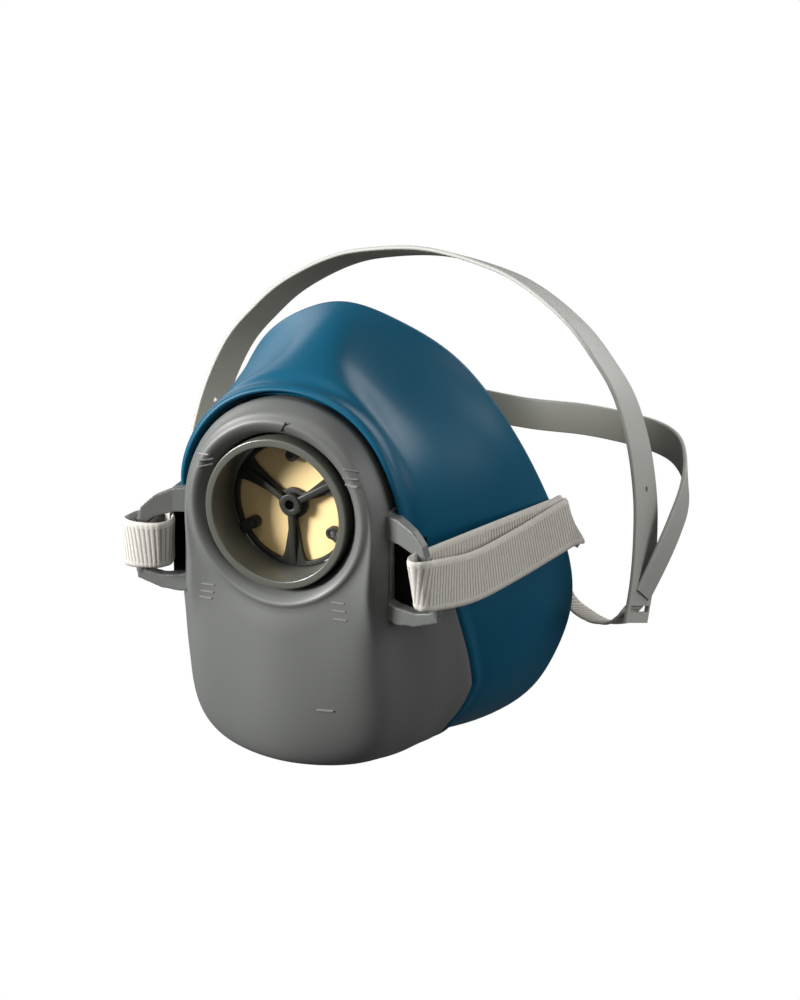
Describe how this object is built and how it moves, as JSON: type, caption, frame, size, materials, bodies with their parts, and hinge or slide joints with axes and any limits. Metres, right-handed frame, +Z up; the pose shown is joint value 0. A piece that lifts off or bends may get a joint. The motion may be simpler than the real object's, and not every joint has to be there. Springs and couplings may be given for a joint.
{
  "type": "half mask respirator",
  "caption": "Reusable half-mask respirator: silicone face cup, moulded front cover with a round filter port, valves, elastic straps and a plastic head cradle.",
  "frame": {"origin": "centre of the opening that seals on the wearer's face", "axes": "+Z up, -Y out of the mask's front, +X to the wearer's left"},
  "size_m": [0.1716, 0.1743, 0.1374],
  "materials": {
    "silicone": "satin",
    "cover_plastic": "satin",
    "socket_plastic": "smooth",
    "insert_plastic": "matt",
    "gasket_rubber": "matt",
    "valve_rubber": "matt",
    "elastic_web": "ribbed knit",
    "band_plastic": "satin",
    "clasp_plastic": "satin"
  },
  "bodies": {
    "facepiece": {"facepiece_cup": "silicone", "front_cover": "cover_plastic", "front_insert": "insert_plastic", "filter_socket": "socket_plastic", "port_gasket": "gasket_rubber", "inhalation_seat": "socket_plastic", "exhalation_seat": "insert_plastic", "cup_clamp_ring": "insert_plastic", "strap_loop_left": "cover_plastic", "strap_loop_right": "cover_plastic", "front_elastic_left": "elastic_web", "front_elastic_right": "elastic_web"},
    "inhalation_flap": {"inhalation_valve": "valve_rubber"},
    "exhalation_flap": {"exhalation_valve": "valve_rubber"},
    "harness": {"head_cradle": "band_plastic", "rear_elastic_left": "elastic_web", "rear_elastic_right": "elastic_web"},
    "neck_strap": {"neck_elastic_left": "elastic_web", "neck_elastic_right": "elastic_web", "clasp_hook": "clasp_plastic", "clasp_catch": "clasp_plastic"}
  },
  "joints": [
    {"name": "harness_swing", "type": "hinge", "parent": "facepiece", "child": "harness", "pos_m": [0, 0.028, -0.012], "axis": [1, 0, 0], "range_deg": [-10, 35]},
    {"name": "neck_strap_swing", "type": "hinge", "parent": "facepiece", "child": "neck_strap", "pos_m": [0, 0.0184, -0.019], "axis": [1, 0, 0], "range_deg": [-35, 60]},
    {"name": "inhalation_lift", "type": "slide", "parent": "facepiece", "child": "inhalation_flap", "axis": [0, 1, 0], "range_m": [0, 0.0015], "stiffness_N_per_m": 20},
    {"name": "exhalation_lift", "type": "slide", "parent": "facepiece", "child": "exhalation_flap", "axis": [0, -1, 0], "range_m": [0, 0.0015], "stiffness_N_per_m": 20}
  ]
}
